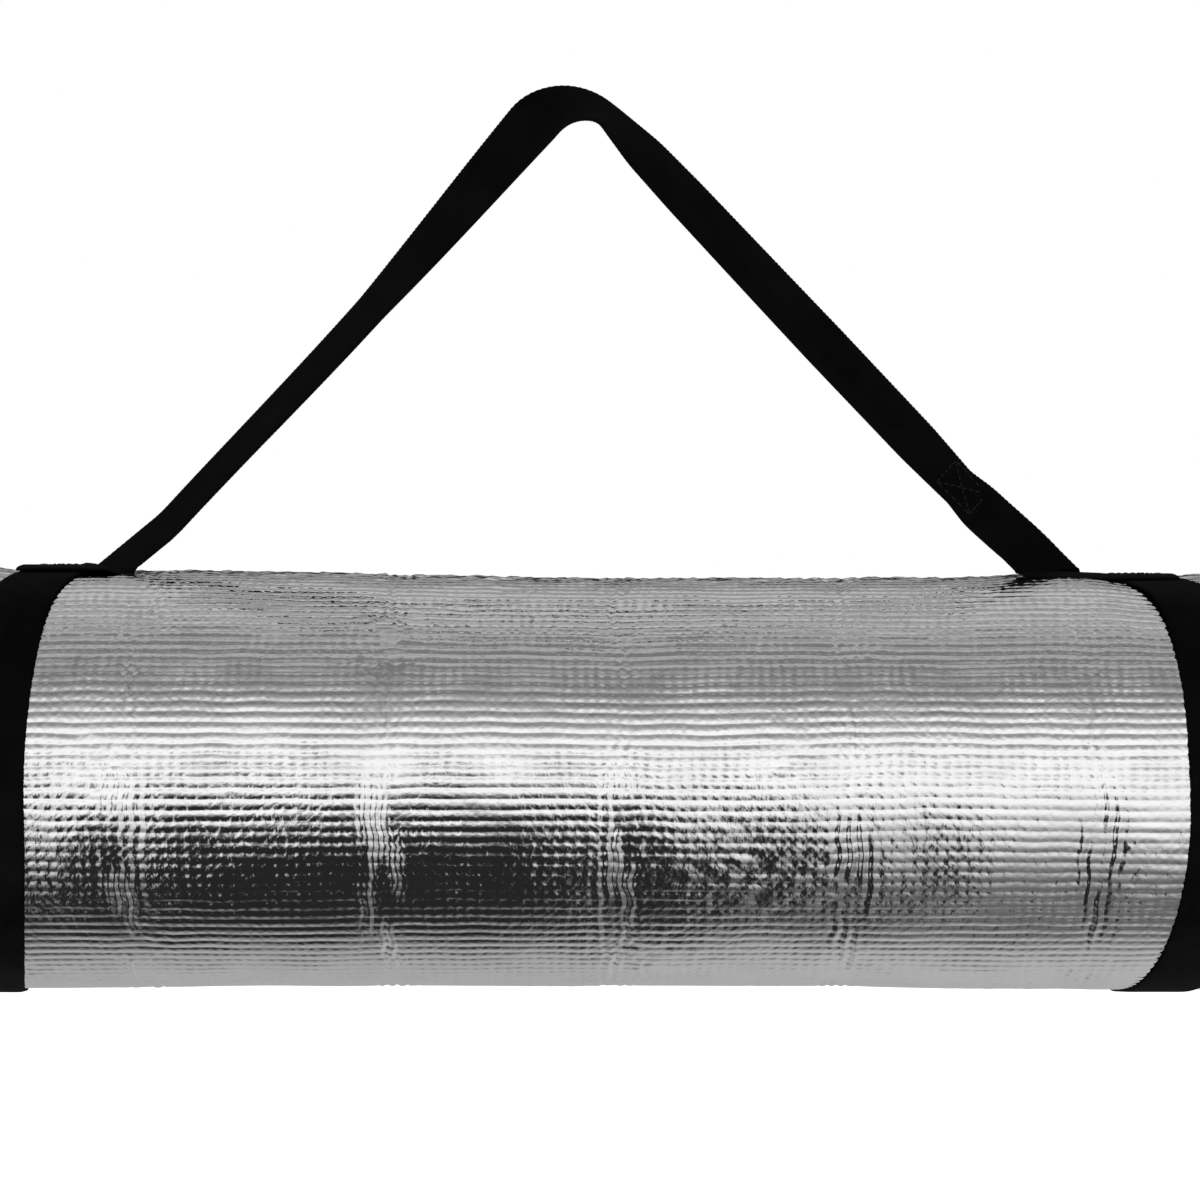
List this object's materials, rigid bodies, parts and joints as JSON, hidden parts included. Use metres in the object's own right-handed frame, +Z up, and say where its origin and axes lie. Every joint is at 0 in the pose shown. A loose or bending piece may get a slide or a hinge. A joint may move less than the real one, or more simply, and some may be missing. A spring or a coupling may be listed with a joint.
{
  "type": "rolled foam sleeping pad",
  "caption": "Closed-cell foam sleeping pad with a foil face, rolled up in two webbing loops and hung from a webbing carrying strap.",
  "frame": {"origin": "the point under the carrying strap's apex where a peg or hook carries it", "axes": "+X along the roll, +Z up, -Y is the side seen in the picture"},
  "size_m": [0.55, 0.1584, 0.3539],
  "materials": {
    "foam": "closed-cell foam, matt",
    "foil": "embossed metallised film, bright",
    "webbing": "woven polypropylene, black",
    "thread": "bonded sewing thread, black"
  },
  "bodies": {
    "carry_strap": {"carry_strap": "webbing", "right_strap_lead": "webbing", "lap_stitching": "thread"},
    "loops": {"left_loop": "webbing", "right_loop": "webbing", "left_strap_foot": "webbing", "right_strap_foot": "webbing", "left_foot_stitching": "thread", "right_foot_stitching": "thread"},
    "pad_roll": {"foam_sheet": "foam", "foil_facing": "foil"}
  },
  "joints": [
    {"name": "strap_swing", "type": "hinge", "parent": "carry_strap", "child": "loops", "pos_m": [0, 0, -0.1578], "axis": [1, 0, 0], "range_deg": [-90, 90]},
    {"name": "roll_slide", "type": "slide", "parent": "loops", "child": "pad_roll", "axis": [1, 0, 0], "range_m": [-0.52, 0.52]}
  ]
}
